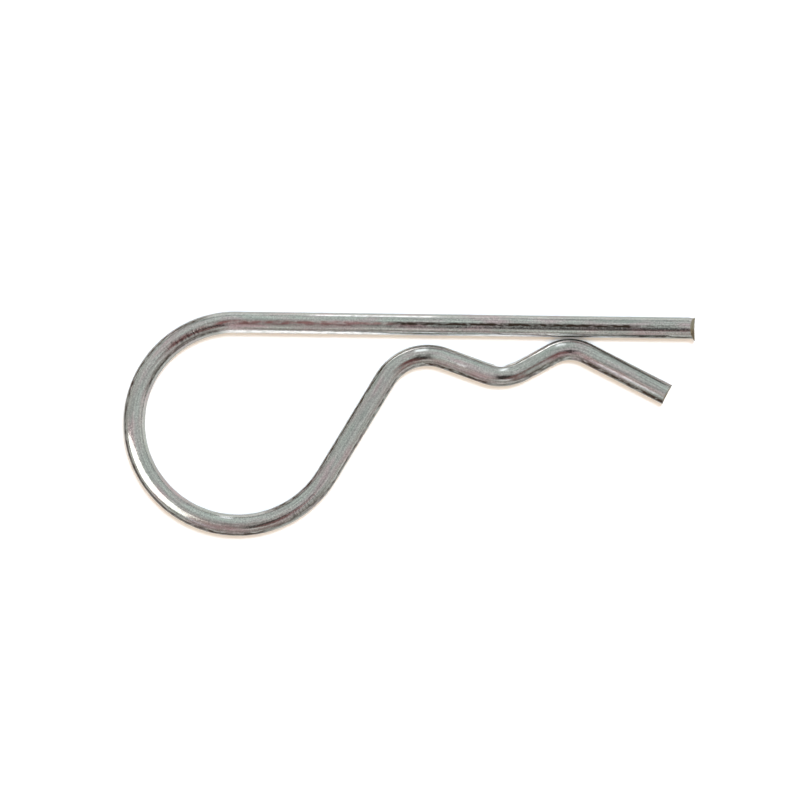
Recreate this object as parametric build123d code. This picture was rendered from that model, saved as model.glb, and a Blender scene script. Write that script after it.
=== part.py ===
from build123d import *
import os
from math import cos, radians, sin, tan

# Hitch R clip: one length of hard-drawn spring wire, sheared to length and bent cold in one plane.
# The straight arm goes through the cross hole of a hitch pin, and the sprung arm snaps round the
# outside of that pin, which then sits in the seat between the throat and the nip.
# The clip lies flat. X runs from the loop to the free ends, Y from the sprung arm to the straight
# arm, and Z is up. The origin is under the middle of the clip, on the surface that it lies on.

# Driving dimensions, in millimetres and degrees

# Wire, and the length from the back of the loop to the end of the straight arm
wire_diameter = 3.0
overall_length = 80.0

# Loop, by its centreline: it opens a little from its back half to its front half
loop_back_radius = 14.1
loop_front_radius = 14.6

# Slopes of the sprung arm's straight runs, measured from the straight arm
rise_angle = 59.5
seat_entry_angle = 19.1
seat_exit_angle = 29.2
tail_angle = 26.3

# Bends of the sprung arm, by their centrelines
throat_bend_radius = 7.0
seat_bend_radius = 6.5
nip_bend_radius = 5.2

# Clear gaps between the two arms: at the throat, at the bottom of the seat and at the nip
throat_gap = 1.3
seat_gap = 4.0
nip_gap = 0.2

# Straight run from the nip to the end of the sprung arm, which leads the hitch pin in
tail_length = 12.7

# Mark that the bending mandrel presses into the inside of the seat
mandrel_radius = 1.5
mandrel_mark_depth = 0.25

# Sheared ends: the stretch that the shear deforms, the lean of each cut, and the lips it leaves
shear_length = 0.4
arm_lean_angle = 17.0
tail_lean_angle = 9.0
arm_burr = 0.3
arm_roll_over = 0.15
tail_burr = 0.08

# Run of a cut past the wire
cut_overrun = 1.0

# Sizes worked out from those

wire_radius = wire_diameter / 2
arm_tip_length = shear_length + wire_diameter * tan(radians(arm_lean_angle))
tail_tip_length = shear_length + wire_diameter * tan(radians(tail_lean_angle))
half_loop_angle = (180 + rise_angle) / 2

rise = radians(rise_angle)
seat_entry = radians(seat_entry_angle)
seat_exit = radians(seat_exit_angle)

# Depth of each bend's centreline below the centreline of the straight arm
throat_depth = wire_diameter + throat_gap
seat_depth = wire_diameter + seat_gap
nip_depth = wire_diameter + nip_gap

# Depth of the loop: its two halves meet where their centres are in line with the point of meeting
meeting_angle = radians(90 + half_loop_angle)
loop_growth = loop_front_radius - loop_back_radius
front_center_depth = loop_back_radius + loop_growth * sin(meeting_angle)
loop_depth = front_center_depth + loop_front_radius
loop_end_depth = front_center_depth + loop_front_radius * cos(rise)

# Lengths of the sprung arm's runs, from the drop between the bends that they join
rise_run = (loop_end_depth - throat_depth - throat_bend_radius * (1 - cos(rise))) / sin(rise)
entry_bends = (throat_bend_radius + seat_bend_radius) * (1 - cos(seat_entry))
entry_run = (seat_depth - throat_depth - entry_bends) / sin(seat_entry)
exit_bends = (seat_bend_radius + nip_bend_radius) * (1 - cos(seat_exit))
exit_run = (seat_depth - nip_depth - exit_bends) / sin(seat_exit)

# Places: the straight arm's centreline, the start of the loop and the end of the straight arm
arm_y = loop_depth / 2
loop_x = loop_back_radius + wire_radius - overall_length / 2
arm_end_x = overall_length / 2


def straight_arm_and_loop():
    """Centreline from the tip of the straight arm, round the loop, to where the sprung arm leaves it."""
    arm = Line((arm_end_x - arm_tip_length, arm_y, wire_radius), (loop_x, arm_y, wire_radius))
    loop_back = JernArc(arm @ 1, arm % 1, loop_back_radius, half_loop_angle)
    loop_front = JernArc(loop_back @ 1, loop_back % 1, loop_front_radius, half_loop_angle)
    return Wire([arm, loop_back, loop_front])


def sprung_arm(start, heading):
    """Centreline from the loop, over the throat, the seat and the nip, to the tip of the tail."""
    riser = PolarLine(start, rise_run, direction=heading)
    throat = JernArc(riser @ 1, riser % 1, throat_bend_radius, -rise_angle - seat_entry_angle)
    seat_way_in = PolarLine(throat @ 1, entry_run, direction=throat % 1)
    seat = JernArc(seat_way_in @ 1, seat_way_in % 1, seat_bend_radius, seat_entry_angle + seat_exit_angle)
    seat_way_out = PolarLine(seat @ 1, exit_run, direction=seat % 1)
    nip = JernArc(seat_way_out @ 1, seat_way_out % 1, nip_bend_radius, -seat_exit_angle - tail_angle)
    lead_in = PolarLine(nip @ 1, tail_length - tail_tip_length, direction=nip % 1)
    return Wire([riser, throat, seat_way_in, seat, seat_way_out, nip, lead_in]), seat.arc_center.X


def round_wire(centreline):
    """Round wire along a centreline."""
    section = Plane(centreline @ 0, z_dir=centreline % 0) * Circle(wire_radius)
    return sweep(section, path=centreline)


def sheared_tip(start, outward, left_lip, right_lip, lean_angle):
    """End of the wire: the round section runs out to the cut, which leans back and has a lip each side.

    A lip that is negative is drawn in. The lean turns the cut face up.
    """
    left = Vector(0, 0, 1).cross(outward)
    lean = radians(lean_angle)
    cut_center = start + outward * (shear_length + wire_radius * tan(lean))
    facing = outward * cos(lean) + Vector(0, 0, 1) * sin(lean)
    round_section = Plane(start, x_dir=left, z_dir=outward) * Circle(wire_radius)
    cut_shape = Ellipse(wire_radius + (left_lip + right_lip) / 2, wire_radius / cos(lean))
    cut_section = Plane(cut_center, x_dir=left, z_dir=facing) * Pos((left_lip - right_lip) / 2) * cut_shape
    return loft([round_section, cut_section], ruled=True)


def clip_wire():
    """The whole clip: the wire of both arms, the mandrel's mark in the seat and the two sheared tips."""
    arm_path = straight_arm_and_loop()
    sprung_path, seat_x = sprung_arm(arm_path @ 1, arm_path % 1)
    mark_y = arm_y - seat_depth + wire_radius - mandrel_mark_depth + mandrel_radius
    mandrel = Cylinder(mandrel_radius, wire_diameter + 2 * cut_overrun)
    clip = round_wire(sprung_path) - Pos(seat_x, mark_y, wire_radius) * mandrel
    clip += round_wire(arm_path)
    arm_outward = (arm_path % 0) * -1
    clip += sheared_tip(arm_path @ 0, arm_outward, -arm_roll_over, arm_burr, arm_lean_angle)
    clip += sheared_tip(sprung_path @ 1, sprung_path % 1, tail_burr, tail_burr, tail_lean_angle)
    return clip


os.makedirs("parts", exist_ok=True)
export_step(clip_wire(), "parts/r_clip_wire.step")
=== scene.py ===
import math

import bpy
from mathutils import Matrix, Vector, noise


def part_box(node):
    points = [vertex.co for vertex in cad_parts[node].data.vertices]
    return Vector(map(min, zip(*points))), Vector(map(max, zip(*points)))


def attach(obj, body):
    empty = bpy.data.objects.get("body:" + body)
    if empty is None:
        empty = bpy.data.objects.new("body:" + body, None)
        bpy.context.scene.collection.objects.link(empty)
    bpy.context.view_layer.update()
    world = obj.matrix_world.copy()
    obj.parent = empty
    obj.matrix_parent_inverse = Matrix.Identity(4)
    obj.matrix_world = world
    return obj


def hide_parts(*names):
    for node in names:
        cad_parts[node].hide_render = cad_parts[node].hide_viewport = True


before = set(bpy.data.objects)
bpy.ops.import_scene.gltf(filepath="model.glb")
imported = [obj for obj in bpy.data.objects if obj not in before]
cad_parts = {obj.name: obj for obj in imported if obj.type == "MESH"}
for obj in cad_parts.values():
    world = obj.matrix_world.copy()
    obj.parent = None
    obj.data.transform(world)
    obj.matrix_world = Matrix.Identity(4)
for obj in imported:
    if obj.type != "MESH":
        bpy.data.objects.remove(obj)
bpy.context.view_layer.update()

# Clip wire
# One length of hard-drawn spring steel wire, bent cold round pegs in one plane and zinc plated: a straight
# arm that goes through a hitch pin, a round loop to pull on, and a waved arm that snaps round the pin.
# It is held by its own spring alone, and here it lies flat on the floor.

# Sizes of the bends, by the wire's centreline, and slopes measured from the straight arm
loop_back_radius = 0.0141
loop_front_radius = 0.0146
throat_bend_radius = 0.0070
seat_bend_radius = 0.0065
nip_bend_radius = 0.0052
rise_angle = math.radians(59.5)
seat_entry_angle = math.radians(19.1)
seat_exit_angle = math.radians(29.2)
tail_angle = math.radians(26.3)

# Clear gaps from the straight arm to the throat, the seat and the nip, and the tail after the nip
throat_gap = 0.0013
seat_gap = 0.0040
nip_gap = 0.0002
tail_length = 0.0127

# Sheared ends: the stretch that the blade deforms, the length of each cut's bevel, and each side's lip,
# given by how far it is drawn in and how far its burr stands out
shear_length = 0.0004
arm_bevel = 0.0008
tail_bevel = 0.00035
arm_inner_lip = (0.0, 0.0003)
arm_outer_lip = (0.00015, 0.00015)
tail_lip = (0.0, 0.00008)

# Place of the wire in the frame
low_corner, high_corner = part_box("r_clip_wire")
wire_radius = (high_corner.z - low_corner.z) / 2
wire_diameter = 2 * wire_radius
arm_y = high_corner.y - wire_radius
arm_end_x = high_corner.x
loop_x = low_corner.x + wire_radius + loop_back_radius
floor_z = low_corner.z

# Depth of each bend below the straight arm, and the straight runs that join them
half_loop = (math.pi + rise_angle) / 2
throat_depth = wire_diameter + throat_gap
seat_depth = wire_diameter + seat_gap
nip_depth = wire_diameter + nip_gap
loop_growth = loop_front_radius - loop_back_radius
front_center_depth = loop_back_radius + loop_growth * math.sin(math.pi / 2 + half_loop)
loop_end_depth = front_center_depth + loop_front_radius * math.cos(rise_angle)
arm_tip_length = shear_length + arm_bevel
tail_tip_length = shear_length + tail_bevel


def run_between(drop, bend_radii, slope):
    """Length of the straight run that takes up a drop, less what the bends at its two ends take."""
    return (drop - bend_radii * (1 - math.cos(slope))) / math.sin(slope)


def bend(radius, turn):
    """Length along a bend and its turn to the left."""
    return radius * abs(turn), turn


rise_run = run_between(loop_end_depth - throat_depth, throat_bend_radius, rise_angle)
entry_run = run_between(seat_depth - throat_depth, throat_bend_radius + seat_bend_radius, seat_entry_angle)
exit_run = run_between(seat_depth - nip_depth, seat_bend_radius + nip_bend_radius, seat_exit_angle)

# The wire from the end of the straight arm to the end of the tail: length and turn of each stretch
straight_arm = [(arm_end_x - arm_tip_length - loop_x, 0)]
loop = [bend(loop_back_radius, half_loop), bend(loop_front_radius, half_loop), (rise_run, 0)]
throat = [bend(throat_bend_radius, -rise_angle - seat_entry_angle), (entry_run, 0)]
seat = [bend(seat_bend_radius, seat_entry_angle + seat_exit_angle), (exit_run, 0)]
nip = [bend(nip_bend_radius, -seat_exit_angle - tail_angle), (tail_length - tail_tip_length, 0)]

# Stations along the centreline: distance from the first one, place and heading
station_gap = 0.00025
distance = 0.0
place = Vector((arm_end_x - arm_tip_length, arm_y, floor_z + wire_radius))
heading = math.pi
stations = [(distance, place.copy(), heading)]
for length, turn in straight_arm + loop + throat + seat + nip:
    steps = math.ceil(length / station_gap)
    step_turn = turn / steps
    chord = length / steps
    if turn:
        chord = 2 * length / abs(turn) * math.sin(abs(step_turn) / 2)
    for _ in range(steps):
        along = heading + step_turn / 2
        place += chord * Vector((math.cos(along), math.sin(along), 0))
        heading += step_turn
        distance += length / steps
        stations.append((distance, place.copy(), heading))

# Mark that the bending peg presses into the inside of the seat, on the waved arm alone
mandrel_radius = 0.0015
mandrel_mark_depth = 0.00025
mandrel_swell = 0.00005
seat_start = sum(length for length, _ in straight_arm + loop + throat)
seat_middle = seat_start + seat_bend_radius * seat_entry_angle
seat_reach = 2 * mandrel_radius
seat_place = min(stations, key=lambda s: abs(s[0] - seat_middle))[1]
mark_y = arm_y - seat_depth + wire_radius - mandrel_mark_depth + mandrel_radius
mandrel_axis = Vector((seat_place.x, mark_y))


def pressed_by_mandrel(point):
    """A point of the seat's surface, moved out of the peg, with a soft rim where the metal swelled."""
    away = point.xy - mandrel_axis
    depth = away.length - mandrel_radius
    pushed = (depth + math.hypot(depth, mandrel_swell)) / 2 - depth
    moved = away.normalized() * pushed
    return point + Vector((moved.x, moved.y, 0))


points_round = 64
round_angles = [2 * math.pi * i / points_round for i in range(points_round)]
unbroken = [0.0] * points_round
vertices = []
straight_places = []
broken_shares = []


def add_ring(ring, along, broken=unbroken):
    """One ring of vertices, with where each would be in millimetres if the wire were pulled straight.

    A ring of a cut also has the share of broken metal at each vertex.
    """
    for point, angle, share in zip(ring, round_angles, broken):
        vertices.append(point)
        across = (wire_radius * math.cos(angle), wire_radius * math.sin(angle))
        straight_places.append([1000 * size for size in (along, *across)])
        broken_shares.append(share)


def side_of(heading):
    """Unit vectors along the wire and to its left."""
    along = Vector((math.cos(heading), math.sin(heading), 0))
    return along, Vector((-along.y, along.x, 0))


# Powers of the share of a tip: the side is drawn in gently, the burr rises late, and both stay at the sides
drawn_in_power = 2
burr_power = 14
sideways_power = 3


def lip_at(lip, share):
    """A lip part of the way along a tip: the side eases in, and the thin burr stands at the rim."""
    drawn_in, burr = lip
    return burr * share ** burr_power - drawn_in * share ** drawn_in_power


def tip_ring(station, way, share, left_lip, right_lip, bevel):
    """A ring of a sheared end, from the round wire (share 0) to the rim of the cut (share 1).

    The upper half of the cut is a bevel, and the lower half is square.
    """
    _, start, heading = station
    along, left = side_of(heading)
    ring = []
    for angle in round_angles:
        up = wire_radius * math.sin(angle)
        turned = math.cos(angle)
        lip = lip_at(left_lip if turned > 0 else right_lip, share)
        side = wire_radius * turned + lip * abs(turned) ** sideways_power * turned
        out = share * (shear_length + bevel * (1 - max(0.0, up) / wire_radius))
        ring.append(start + way * out * along + side * left + up * Vector((0, 0, 1)))
    return ring


# Relief of a cut: the blade burnishes one side, and the rest breaks away rough and a little deeper.
# The share of broken metal is given at the middle, with its fall towards the burnished side, and it
# grows from the rim over a quarter of the way to the middle.
break_depth = 0.00006
break_grain = 0.00035
break_roughness = 0.00008
broken_at_middle = 0.6
broken_fall = 4.0
rim_share = 0.25
face_rings = 14


def cut_face(rim, outward, burnished_side):
    """Rings of a cut face, from the rim inwards, sunk where the metal broke, with the share that broke."""
    center = sum(rim, Vector()) / len(rim)
    rings = []
    for step in range(1, face_rings):
        inward = step / face_rings
        ring = []
        broken = []
        for point in rim:
            flat = point.lerp(center, inward)
            across = (flat - center).dot(burnished_side) / wire_radius
            grain = noise.noise(flat / break_grain)
            share = min(1.0, max(0.0, broken_at_middle - broken_fall * across + grain))
            share *= min(1.0, inward / rim_share)
            sunk = share * (break_depth + break_roughness * (1 + grain) / 2)
            ring.append(flat - sunk * outward)
            broken.append(share)
        rings.append((ring, broken))
    return rings


tip_steps = 16
shares = [(step + 1) / tip_steps for step in range(tip_steps)]
arm_tip = [tip_ring(stations[0], -1, share, arm_inner_lip, arm_outer_lip, arm_bevel) for share in shares]
tail_tip = [tip_ring(stations[-1], 1, share, tail_lip, tail_lip, tail_bevel) for share in shares]
arm_outward = -side_of(stations[0][2])[0]
tail_outward = side_of(stations[-1][2])[0]
arm_face = cut_face(arm_tip[-1], arm_outward, -side_of(stations[0][2])[1])
tail_face = cut_face(tail_tip[-1], tail_outward, side_of(stations[-1][2])[1])

wire_length = stations[-1][0]
for ring, broken in reversed(arm_face):
    add_ring(ring, -arm_tip_length, broken)
for share, ring in reversed(list(zip(shares, arm_tip))):
    add_ring(ring, -share * arm_tip_length)
for along_wire, place, heading in stations:
    _, left = side_of(heading)
    ring = []
    for angle in round_angles:
        point = place + wire_radius * (math.cos(angle) * left + Vector((0, 0, math.sin(angle))))
        if abs(along_wire - seat_middle) < seat_reach:
            point = pressed_by_mandrel(point)
        ring.append(point)
    add_ring(ring, along_wire)
for share, ring in zip(shares, tail_tip):
    add_ring(ring, wire_length + share * tail_tip_length)
for ring, broken in tail_face:
    add_ring(ring, wire_length + tail_tip_length, broken)

ring_count = len(vertices) // points_round
faces = []
for ring in range(ring_count - 1):
    for i in range(points_round):
        here = ring * points_round
        there = here + points_round
        after = (i + 1) % points_round
        faces.append((here + i, here + after, there + after, there + i))
faces.append(tuple(reversed(range(points_round))))
faces.append(tuple(range(len(vertices) - points_round, len(vertices))))

mesh = bpy.data.meshes.new("clip_wire")
mesh.from_pydata(vertices, [], faces)
straight = mesh.attributes.new("straight_wire", "FLOAT_VECTOR", "POINT")
straight.data.foreach_set("vector", [size for place in straight_places for size in place])
mesh.attributes.new("broken_metal", "FLOAT", "POINT").data.foreach_set("value", broken_shares)

# Painted dark reflections and shade, painted highlights, rose film with painted pink reflection, and bending
# chatter,
# each a stroke along the wire: its start and end in millimetres, its middle and half width in degrees to the
# left of the wire's top, and its strength. The ends of a long stroke fade over the length given here.
stroke_fade = 2.5
# Dark strokes are painted dark reflections and shade: a line along the top of the straight arm, the outer
# flanks, and patches at the bends
dark_reflection_strokes = [
    (-4.0, 9.0, 60.0, 12.0, 1.0),
    (0.0, 10.0, -6.5, 11.0, 0.6),
    (6.0, 42.0, -4.5, 9.5, 1.8),
    (21.0, 62.0, 40.0, 5.0, 0.9),
    (64.0, 82.0, 42.0, 16.0, 0.8),
    (66.0, 90.0, -54.0, 15.0, 1.0),
    (78.0, 106.0, -60.0, 18.0, 1.2),
    (98.5, 114.0, -6.0, 20.0, 0.2),
    (99.0, 113.0, -60.0, 15.0, 1.4),
    (101.0, 122.0, -50.0, 18.0, 0.8),
    (112.0, 143.0, 60.0, 14.0, 1.3),
    (118.0, 143.0, -58.0, 14.0, 1.0),
    (138.0, 185.0, -59.0, 16.0, 0.9),
    (143.4, 147.2, -5.0, 18.0, 0.9),
    (143.8, 147.0, -46.0, 10.0, 0.35),
    (144.0, 157.0, -59.0, 18.0, 1.4),
    (155.5, 158.6, -12.0, 21.0, 0.85),
    (157.0, 168.0, -46.0, 20.0, 0.8),
    (158.5, 166.0, -8.0, 16.0, 0.2),
    (165.6, 168.8, -19.0, 16.0, 0.7),
    (168.0, 185.0, -57.0, 20.0, 1.4),
    (168.0, 185.0, 62.0, 12.0, 0.5),
]
# Rose strokes are thick film and also painted pink reflection, laid where the wire shows pink reflections
rose_and_pink_reflection_strokes = [
    (36.0, 50.0, -2.0, 14.0, 0.8),
    (45.0, 68.0, 0.0, 18.0, 0.95),
    (66.0, 75.0, 6.0, 18.0, 0.8),
    (99.0, 117.0, -6.0, 24.0, 0.4),
    (103.0, 116.0, -34.0, 14.0, 0.4),
    (140.0, 146.5, -24.0, 20.0, 0.7),
    (141.6, 144.8, -14.0, 14.0, 0.9),
    (145.0, 156.0, -33.0, 18.0, 0.5),
    (157.8, 160.4, -28.0, 16.0, 0.7),
    (163.4, 166.2, -18.0, 16.0, 0.8),
    (168.4, 173.0, -26.0, 18.0, 0.6),
    (172.0, 181.0, -10.0, 10.0, 0.4),
]
# Near-white strokes are painted highlights: glints at the bends and bright reflections along the straight
# arm's flanks
highlight_strokes = [
    (9.0, 40.0, 62.0, 24.0, 1.4),
    (34.0, 53.5, -47.0, 7.0, 1.7),
    (34.0, 66.0, 62.0, 24.0, 1.2),
    (104.8, 107.7, 44.0, 9.0, 1.4),
    (140.0, 168.0, 57.0, 15.0, 1.0),
    (144.2, 146.2, 33.0, 11.0, 1.6),
    (150.2, 151.8, -5.0, 6.0, 1.2),
    (156.3, 158.1, 33.0, 11.0, 1.6),
    (156.3, 158.2, -27.0, 6.0, 0.7),
    (165.3, 166.8, 33.0, 11.0, 1.6),
    (170.0, 181.5, -24.0, 5.0, 0.7),
]
chatter_strokes = [
    (65.5, 75.0, 6.0, 24.0, 0.7),
    (67.5, 74.0, 8.0, 24.0, 1.3),
    (114.0, 121.0, -28.0, 26.0, 0.8),
]
stroke_kinds = {
    "painted_dark_reflection": dark_reflection_strokes,
    "rose_film_and_pink_reflection": rose_and_pink_reflection_strokes,
    "painted_highlight": highlight_strokes,
    "bending_chatter": chatter_strokes,
}


def share_of_strokes(strokes, along, angle):
    """How strongly the strokes mark a point, by its millimetres along the wire and degrees from its top.

    A stroke has its full strength over the middle third of its width.
    """
    share = 0.0
    for start, end, middle, half_width, strength in strokes:
        in_length = min(along - start, end - along) / min(stroke_fade, (end - start) / 3)
        in_width = 1.5 * (1 - abs(angle - middle) / half_width)
        share = max(share, strength * min(1.0, in_length, in_width))
    return share


for name, strokes in stroke_kinds.items():
    shares_on_wire = []
    for along, left, up in straight_places:
        angle = math.degrees(math.atan2(left, up))
        shares_on_wire.append(share_of_strokes(strokes, along, angle))
    marks = mesh.attributes.new(name, "FLOAT", "POINT")
    marks.data.foreach_set("value", shares_on_wire)

# The cut faces take the second material, and the rims of the cuts are sharp
rim_angle = math.radians(40)
face_count = (face_rings - 1) * points_round
for face in mesh.polygons:
    face.use_smooth = True
    face.material_index = int(face.index < face_count or face.index >= len(faces) - 2 - face_count)
mesh.set_sharp_from_angle(angle=rim_angle)
mesh.validate()
wire = bpy.data.objects.new("clip_wire", mesh)
bpy.context.scene.collection.objects.link(wire)


def colour(hex_code):
    """Linear colour of an sRGB hex value."""
    shares = [int(hex_code[i:i + 2], 16) / 255 for i in (1, 3, 5)]
    linear = [s / 12.92 if s <= 0.04045 else ((s + 0.055) / 1.055) ** 2.4 for s in shares]
    return (*linear, 1.0)


def add_node(tree, kind, settings, inputs):
    """One node with its settings, and its inputs set to a value or linked to another node's output."""
    node = tree.nodes.new(kind)
    for name, value in settings.items():
        setattr(node, name, value)
    for name, value in inputs.items():
        if isinstance(value, bpy.types.NodeSocket):
            tree.links.new(value, node.inputs[name])
        else:
            node.inputs[name].default_value = value
    return node


# Electroplated zinc with a clear passivate, over drawn wire. The plate keeps the lines that the drawing die
# left along the wire, and the thin passivate film turns the grey metal faintly green and pink, and rose
# where it is thick; rose is also painted where the wire shows pink reflections. Sizes of the patterns are in
# millimetres.
# Die lines and plating grain are finer than a pixel on the real wire, so they are drawn coarser.
zinc_grey = colour("#A8AAA6")
zinc_green = colour("#A2AAA4")
zinc_pink = colour("#AEA1A2")
# Rose is thick film and also painted pink reflection, the near white is painted highlight, and the dark
# brown is painted shade and dark reflection
zinc_rose = colour("#7E5755")
highlight_white = colour("#F2F3F3")
dark_reflection_brown = colour("#352A22")
die_line_width = 0.28
die_line_length = 9.0
ripple_length = 1.2
ripple_width = 0.35
film_length = 5.0
film_width = 1.2
grain_size = 0.20
chatter_pitch = 0.30
chatter_width = 1.6
fleck_length = 1.0
fleck_width = 0.30

zinc = bpy.data.materials.new("zinc_plate_clear_passivate_on_drawn_wire")
zinc.use_nodes = True
nodes = zinc.node_tree
nodes.nodes.clear()
on_wire = add_node(nodes, "ShaderNodeAttribute", {"attribute_name": "straight_wire"}, {}).outputs["Vector"]


def streaks(tree, along, across, detail):
    """Soft noise drawn out to a length along the wire and a width across it, in millimetres."""
    scale = (1 / along, 1 / across, 1 / across)
    place = add_node(tree, "ShaderNodeVectorMath", {"operation": "MULTIPLY"}, {0: on_wire, 1: scale})
    settings = {"Vector": place.outputs["Vector"], "Scale": 1.0, "Detail": detail}
    return add_node(tree, "ShaderNodeTexNoise", {}, settings).outputs["Fac"]


die_lines = streaks(nodes, die_line_length, die_line_width, 2.0)
ripple = streaks(nodes, ripple_length, ripple_width, 1.0)
film = streaks(nodes, film_length, film_width, 2.0)
grain = streaks(nodes, grain_size, grain_size, 1.0)

green_share = add_node(nodes, "ShaderNodeMapRange", {}, {
    "Value": film, "From Min": 0.50, "From Max": 0.72})
pink_share = add_node(nodes, "ShaderNodeMapRange", {}, {
    "Value": film, "From Min": 0.50, "From Max": 0.28})
greened = add_node(nodes, "ShaderNodeMix", {"data_type": "RGBA"}, {
    "Factor": green_share.outputs["Result"], 6: zinc_grey, 7: zinc_green})
tinted = add_node(nodes, "ShaderNodeMix", {"data_type": "RGBA"}, {
    "Factor": pink_share.outputs["Result"], 6: greened.outputs[2], 7: zinc_pink})
# Share of rose: thick film and painted pink reflection
rose_share = add_node(nodes, "ShaderNodeAttribute", {"attribute_name": "rose_film_and_pink_reflection"}, {}).outputs["Fac"]
rose_level = add_node(nodes, "ShaderNodeMapRange", {}, {
    "Value": ripple, "From Min": 0.35, "From Max": 0.60, "To Min": 0.45, "To Max": 1.0})
rosy = add_node(nodes, "ShaderNodeMath", {"operation": "MULTIPLY"}, {
    0: rose_share, 1: rose_level.outputs["Result"]})
film_and_rose_tinted = add_node(nodes, "ShaderNodeMix", {"data_type": "RGBA"}, {
    "Factor": rosy.outputs[0], 6: tinted.outputs[2], 7: zinc_rose})
lined = add_node(nodes, "ShaderNodeMapRange", {}, {
    "Value": die_lines, "From Min": 0.30, "From Max": 0.70, "To Min": 0.77, "To Max": 1.15})
grained = add_node(nodes, "ShaderNodeMapRange", {}, {
    "Value": grain, "From Min": 0.25, "From Max": 0.75, "To Min": 0.76, "To Max": 1.22})
marked = add_node(nodes, "ShaderNodeMath", {"operation": "MULTIPLY"}, {
    0: lined.outputs["Result"], 1: grained.outputs["Result"]})

# Chatter is uneven ridges across the wire, and its hollows get painted shade: their colour is darkened
chatter_mark = add_node(nodes, "ShaderNodeAttribute", {"attribute_name": "bending_chatter"}, {})
chatter_ridges = streaks(nodes, chatter_pitch, chatter_width, 1.0)
chatter_rise = add_node(nodes, "ShaderNodeMapRange", {}, {
    "Value": chatter_ridges, "From Min": 0.35, "From Max": 0.65, "To Min": -1.0, "To Max": 1.0})
chatter_wave = add_node(nodes, "ShaderNodeMath", {"operation": "MULTIPLY"}, {
    0: chatter_rise.outputs["Result"], 1: chatter_mark.outputs["Fac"]})
# Painted shade: the colour is darkened in the chatter's hollows
hollow_shade = add_node(nodes, "ShaderNodeMapRange", {}, {
    "Value": chatter_wave.outputs[0], "From Min": -1.0, "From Max": 0.0, "To Min": 0.45, "To Max": 1.0})
marked_and_shaded = add_node(nodes, "ShaderNodeMath", {"operation": "MULTIPLY"}, {
    0: marked.outputs[0], 1: hollow_shade.outputs["Result"]})
plated = add_node(nodes, "ShaderNodeVectorMath", {"operation": "SCALE"}, {
    0: film_and_rose_tinted.outputs[2], "Scale": marked_and_shaded.outputs[0]})

# Painted dark reflections and shade, and painted highlights, are broken into flecks, dark brown and near
# white
dark_reflection_mark = add_node(nodes, "ShaderNodeAttribute", {"attribute_name": "painted_dark_reflection"}, {}).outputs["Fac"]
flecks = streaks(nodes, fleck_length, fleck_width, 2.0)
fleck_level = add_node(nodes, "ShaderNodeMapRange", {}, {
    "Value": flecks, "From Min": 0.36, "From Max": 0.60, "To Min": 0.35, "To Max": 1.0})
dark_share = add_node(nodes, "ShaderNodeMath", {"operation": "MULTIPLY"}, {
    0: dark_reflection_mark, 1: fleck_level.outputs["Result"]})
darkened = add_node(nodes, "ShaderNodeMix", {"data_type": "RGBA"}, {
    "Factor": dark_share.outputs[0], 6: plated.outputs[0], 7: dark_reflection_brown})
# Painted highlights: near white mixed in where the wire shows glints and bright reflections
highlight_mask = add_node(nodes, "ShaderNodeAttribute", {"attribute_name": "painted_highlight"}, {}).outputs["Fac"]
highlight_share = add_node(nodes, "ShaderNodeMath", {"operation": "MULTIPLY"}, {
    0: highlight_mask, 1: fleck_level.outputs["Result"]})
painted = add_node(nodes, "ShaderNodeMix", {"data_type": "RGBA"}, {
    "Factor": highlight_share.outputs[0], 6: darkened.outputs[2], 7: highlight_white})
gloss = add_node(nodes, "ShaderNodeMapRange", {}, {
    "Value": grain, "From Min": 0.3, "From Max": 0.7, "To Min": 0.07, "To Max": 0.15})

# Relief, with heights in micrometres
die_line_height = 5.5
ripple_height = 9.0
grain_height = 2.0
chatter_height = 4.0
micrometre = 1e-6
lines_raised = add_node(nodes, "ShaderNodeMath", {"operation": "MULTIPLY"}, {
    0: die_lines, 1: die_line_height})
ripple_raised = add_node(nodes, "ShaderNodeMath", {"operation": "MULTIPLY_ADD"}, {
    0: ripple, 1: ripple_height, 2: lines_raised.outputs[0]})
grain_raised = add_node(nodes, "ShaderNodeMath", {"operation": "MULTIPLY_ADD"}, {
    0: grain, 1: grain_height, 2: ripple_raised.outputs[0]})
height = add_node(nodes, "ShaderNodeMath", {"operation": "MULTIPLY_ADD"}, {
    0: chatter_wave.outputs[0], 1: chatter_height, 2: grain_raised.outputs[0]})
relief = add_node(nodes, "ShaderNodeBump", {}, {
    "Strength": 1.0, "Distance": micrometre, "Height": height.outputs[0]})
zinc_shader = add_node(nodes, "ShaderNodeBsdfPrincipled", {}, {
    "Base Color": painted.outputs[2],
    "Metallic": 1.0,
    "Roughness": gloss.outputs["Result"],
    "Specular Tint": (0.6, 0.6, 0.6, 1),
    "Normal": relief.outputs["Normal"],
})
add_node(nodes, "ShaderNodeOutputMaterial", {}, {"Surface": zinc_shader.outputs["BSDF"]})

# Sheared spring steel with a thin flash of zinc. Where the blade slid, it is olive grey and finely scored,
# and where the metal broke, it is brown, rough and grainy. The scores are drawn coarser than real ones.
score_width = 0.00008
score_length = 0.0012
break_relief = 0.00001
burnished_olive = colour("#767260")
burnished_pale = colour("#918D7A")
broken_brown = colour("#4A4030")
broken_grey = colour("#8C806A")
sheared = bpy.data.materials.new("sheared_spring_steel_thinly_plated")
sheared.use_nodes = True
nodes = sheared.node_tree
nodes.nodes.clear()
grain_place = add_node(nodes, "ShaderNodeTexCoord", {}, {}).outputs["Object"]
score_place = add_node(nodes, "ShaderNodeVectorMath", {"operation": "MULTIPLY"}, {
    0: grain_place, 1: (1 / score_width, 1 / score_length, 1 / score_width)})
scores = add_node(nodes, "ShaderNodeTexNoise", {}, {
    "Vector": score_place.outputs["Vector"], "Scale": 1.0, "Detail": 1.0})
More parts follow.
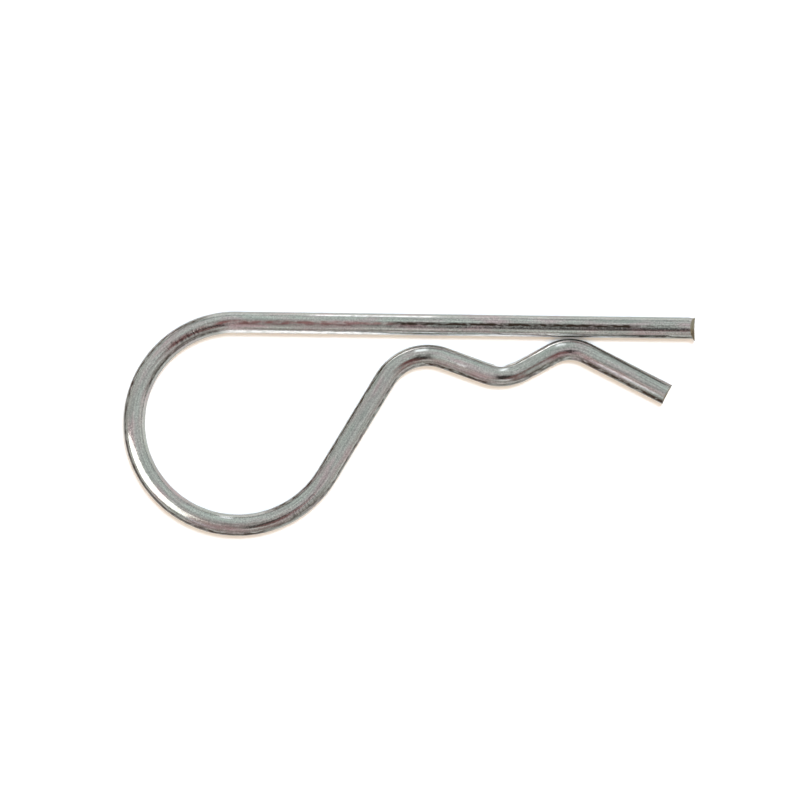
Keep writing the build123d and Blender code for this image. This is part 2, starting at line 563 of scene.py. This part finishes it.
score_level = add_node(nodes, "ShaderNodeMapRange", {}, {
    "Value": scores.outputs["Fac"], "From Min": 0.35, "From Max": 0.65})
scored = add_node(nodes, "ShaderNodeMix", {"data_type": "RGBA"}, {
    "Factor": score_level.outputs["Result"], 6: burnished_olive, 7: burnished_pale})
break_noise = add_node(nodes, "ShaderNodeTexNoise", {}, {
    "Vector": grain_place, "Scale": 1 / break_grain, "Detail": 4.0})
break_level = add_node(nodes, "ShaderNodeMapRange", {}, {
    "Value": break_noise.outputs["Fac"], "From Min": 0.35, "From Max": 0.65})
grainy = add_node(nodes, "ShaderNodeMix", {"data_type": "RGBA"}, {
    "Factor": break_level.outputs["Result"], 6: broken_brown, 7: broken_grey})
broken_share = add_node(nodes, "ShaderNodeAttribute", {"attribute_name": "broken_metal"}, {}).outputs["Fac"]
brown = add_node(nodes, "ShaderNodeMix", {"data_type": "RGBA"}, {
    "Factor": broken_share, 6: scored.outputs[2], 7: grainy.outputs[2]})
break_gloss = add_node(nodes, "ShaderNodeMapRange", {}, {
    "Value": broken_share, "To Min": 0.32, "To Max": 0.55})
break_bump = add_node(nodes, "ShaderNodeBump", {}, {
    "Strength": 1.0, "Distance": break_relief, "Height": break_noise.outputs["Fac"]})
sheared_shader = add_node(nodes, "ShaderNodeBsdfPrincipled", {}, {
    "Base Color": brown.outputs[2],
    "Metallic": 1.0,
    "Roughness": break_gloss.outputs["Result"],
    "Specular Tint": (0.5, 0.5, 0.5, 1),
    "Normal": break_bump.outputs["Normal"],
})
add_node(nodes, "ShaderNodeOutputMaterial", {}, {"Surface": sheared_shader.outputs["BSDF"]})

mesh.materials.append(zinc)
mesh.materials.append(sheared)
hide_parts("r_clip_wire")
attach(wire, "root")

# Floor
# A wide sheet of white board under the clip. The camera and the metal see it topped up a little to white,
# and it keeps the soft shadow along the wire.
floor_size = 12.0
floor_top_up = 0.15
floor_mesh = bpy.data.meshes.new("floor")
half = floor_size / 2
floor_outline = [(-half, -half), (half, -half), (half, half), (-half, half)]
floor_mesh.from_pydata([(x, y, floor_z) for x, y in floor_outline], [], [(0, 1, 2, 3)])
board = bpy.data.materials.new("white_board")
board.use_nodes = True
nodes = board.node_tree
nodes.nodes.clear()
path = add_node(nodes, "ShaderNodeLightPath", {}, {})
in_metal = add_node(nodes, "ShaderNodeMath", {"operation": "MAXIMUM"}, {
    0: path.outputs["Is Glossy Ray"], 1: path.outputs["Is Transmission Ray"]})
seen = add_node(nodes, "ShaderNodeMath", {"operation": "MAXIMUM"}, {
    0: path.outputs["Is Camera Ray"], 1: in_metal.outputs[0]})
top_up = add_node(nodes, "ShaderNodeMath", {"operation": "MULTIPLY"}, {0: seen.outputs[0], 1: floor_top_up})
paper = add_node(nodes, "ShaderNodeBsdfDiffuse", {}, {"Color": colour("#F6F6F6")})
glow = add_node(nodes, "ShaderNodeEmission", {}, {"Strength": top_up.outputs[0]})
both = add_node(nodes, "ShaderNodeAddShader", {}, {0: paper.outputs[0], 1: glow.outputs[0]})
add_node(nodes, "ShaderNodeOutputMaterial", {}, {"Surface": both.outputs[0]})
floor_mesh.materials.append(board)
floor = bpy.data.objects.new("floor", floor_mesh)
bpy.context.scene.collection.objects.link(floor)

# Light
# A soft white room: cool and bright behind the straight arm, warmer and dimmer in front of the waved arm.
# Pale panels, two curtains and a narrow dark post stand in it, with a window beside the loop, and two soft
# lamps overhead light the floor.
world = bpy.data.worlds.new("soft_studio")
bpy.context.scene.world = world
world.use_nodes = True
nodes = world.node_tree
nodes.nodes.clear()
direction = add_node(nodes, "ShaderNodeTexCoord", {}, {}).outputs["Generated"]
parts = add_node(nodes, "ShaderNodeSeparateXYZ", {}, {0: direction})

# Walls, from the skirting up to the ceiling: share of the full height, and light
front_wall = [(0.0, (0.95, 0.92, 0.90)), (0.15, (0.90, 0.85, 0.82)), (0.35, (0.72, 0.66, 0.63)),
              (0.65, (0.83, 0.78, 0.77)), (1.0, (0.92, 0.92, 0.92))]
back_wall = [(0.0, (0.70, 0.74, 0.74)), (0.3, (0.95, 1.00, 0.99)), (0.7, (1.04, 1.10, 1.09)),
             (1.0, (0.93, 0.95, 0.95))]
back_turn = math.radians(72)
wall_share = 0.45
walls = []
for stops in (front_wall, back_wall):
    wall = add_node(nodes, "ShaderNodeValToRGB", {}, {"Fac": parts.outputs["Z"]})
    elements = wall.color_ramp.elements
    for index, (stop, light) in enumerate(stops):
        element = elements[index] if index < 2 else elements.new(stop)
        element.position = stop
        element.color = (*light, 1)
    walls.append(wall.outputs["Color"])
facing_back = add_node(nodes, "ShaderNodeVectorMath", {"operation": "DOT_PRODUCT"}, {
    0: direction, 1: (math.cos(back_turn), math.sin(back_turn), 0)})
backward = add_node(nodes, "ShaderNodeMapRange", {}, {
    "Value": facing_back.outputs["Value"], "From Min": -0.5, "From Max": 0.75})
light = add_node(nodes, "ShaderNodeMix", {"data_type": "RGBA"}, {
    "Factor": backward.outputs["Result"], 6: walls[0], 7: walls[1]}).outputs[2]

up = add_node(nodes, "ShaderNodeMath", {"operation": "MAXIMUM"}, {0: parts.outputs["Z"], 1: 0.02})
ups = add_node(nodes, "ShaderNodeCombineXYZ", {}, {0: up.outputs[0], 1: up.outputs[0], 2: up.outputs[0]})
tilt = add_node(nodes, "ShaderNodeVectorMath", {"operation": "DIVIDE"}, {
    0: direction, 1: ups.outputs[0]}).outputs[0]


def patch(tree, low, high, softness):
    """Share of a soft oval patch of the room between two corners, given as slopes from the zenith."""
    middle = [(a + b) / 2 for a, b in zip(low, high)]
    size = [(b - a) / 2 for a, b in zip(low, high)]
    scale = (1 / size[0], 1 / size[1], 0)
    offset = (-middle[0] / size[0], -middle[1] / size[1], 0)
    spread = add_node(tree, "ShaderNodeVectorMath", {"operation": "MULTIPLY_ADD"}, {
        0: tilt, 1: scale, 2: offset})
    reach = add_node(tree, "ShaderNodeVectorMath", {"operation": "LENGTH"}, {0: spread.outputs[0]})
    return add_node(tree, "ShaderNodeMapRange", {"interpolation_type": "SMOOTHSTEP"}, {
        "Value": reach.outputs["Value"], "From Min": 1 + softness, "From Max": 1 - softness}).outputs[0]


# Things that stand before the walls: corners by their slopes from the zenith, softness of edge, and light
pale_panel = ((-0.30, -1.75), (0.30, -1.05), 0.25, (1.10, 1.08, 1.05))
pink_curtain = ((-0.60, -1.50), (0.00, -0.06), 0.35, (0.92, 0.80, 0.79))
lavender_panel = ((-1.05, -1.95), (-0.38, -0.62), 0.35, (1.15, 1.11, 1.16))
side_panel = ((1.20, -1.20), (4.00, 0.80), 0.30, (1.25, 1.22, 1.20))
maroon_curtain = ((0.05, -0.95), (0.30, -0.20), 0.30, (0.50, 0.31, 0.30))
dark_post = ((0.0, -0.80), (0.095, -0.03), 0.25, (0.12, 0.11, 0.11))
in_front = (pale_panel, pink_curtain, lavender_panel, side_panel, maroon_curtain, dark_post)
for low, high, softness, shade in in_front:
    light = add_node(nodes, "ShaderNodeMix", {"data_type": "RGBA"}, {
        "Factor": patch(nodes, low, high, softness), 6: light, 7: (*shade, 1)}).outputs[2]
# The lamps give more of the floor's light than the walls do
path = add_node(nodes, "ShaderNodeLightPath", {}, {})
level = add_node(nodes, "ShaderNodeMapRange", {}, {
    "Value": path.outputs["Is Diffuse Ray"], "To Min": 1.0, "To Max": wall_share})
room = add_node(nodes, "ShaderNodeBackground", {}, {"Color": light, "Strength": level.outputs["Result"]})
add_node(nodes, "ShaderNodeOutputWorld", {}, {"Surface": room.outputs[0]})

# Window panel, by the slopes of its corners from the zenith. The metal shows it, and it lights nothing else.
panel_height = 2.0
panel_slopes = [(-0.07, -0.10), (-0.64, -1.11), (-2.75, -2.15), (-4.0, -0.45), (-0.80, -0.12)]
panel_mesh = bpy.data.meshes.new("window_panel")
panel_corners = [(panel_height * x, panel_height * y, panel_height) for x, y in panel_slopes]
panel_mesh.from_pydata(panel_corners, [], [tuple(range(len(panel_corners)))])
daylight = bpy.data.materials.new("window_daylight")
daylight.use_nodes = True
nodes = daylight.node_tree
nodes.nodes.clear()
panel_light = (1.0, 0.98, 0.95, 1)
panel_strength = 3.5
panel_glow = add_node(nodes, "ShaderNodeEmission", {}, {"Color": panel_light, "Strength": panel_strength})
add_node(nodes, "ShaderNodeOutputMaterial", {}, {"Surface": panel_glow.outputs[0]})
panel_mesh.materials.append(daylight)
panel = bpy.data.objects.new("window_panel", panel_mesh)
panel.visible_diffuse = False
bpy.context.scene.collection.objects.link(panel)

# Lamps, each a round one of an even brightness. The metal doesn't show them.
lamp_reach = 2.0


def lamp(name, azimuth, elevation, width, radiance, tint):
    """Lamp that faces the clip, given by degrees round from +X and degrees up from the floor."""
    data = bpy.data.lights.new(name, "AREA")
    data.shape = "DISK"
    data.size = width
    data.energy = radiance * math.pi * width ** 2
    data.color = tint
    made = bpy.data.objects.new(name, data)
    turn, rise = math.radians(azimuth), math.radians(elevation)
    place = Vector((math.cos(turn) * math.cos(rise), math.sin(turn) * math.cos(rise), math.sin(rise)))
    made.location = lamp_reach * place
    made.rotation_euler = place.to_track_quat("Z", "Y").to_euler()
    made.visible_camera = False
    made.visible_glossy = False
    bpy.context.scene.collection.objects.link(made)


lamp("key_lamp", 68, 72, 0.6, 24.5, (0.86, 1.0, 1.14))
lamp("warm_fill", 280, 78, 0.9, 5.4, (1.0, 0.66, 0.33))

# Camera
# It looks straight down on the clip, as the clip lies on a table, from far off with a long lens.
view_x = -0.00127
view_y = 0.00363
view_roll = 0.013
view_width = 0.11219
lens = 200.0
sensor = 36.0
camera_data = bpy.data.cameras.new("camera")
camera_data.lens = lens
camera_data.sensor_width = sensor
camera_data.clip_start = 0.01
camera = bpy.data.objects.new("camera", camera_data)
camera.location = (view_x, view_y, floor_z + wire_radius + view_width * lens / sensor)
camera.rotation_euler = (0, 0, view_roll)
bpy.context.scene.collection.objects.link(camera)
bpy.context.scene.camera = camera
bpy.context.scene.view_settings.view_transform = "Standard"
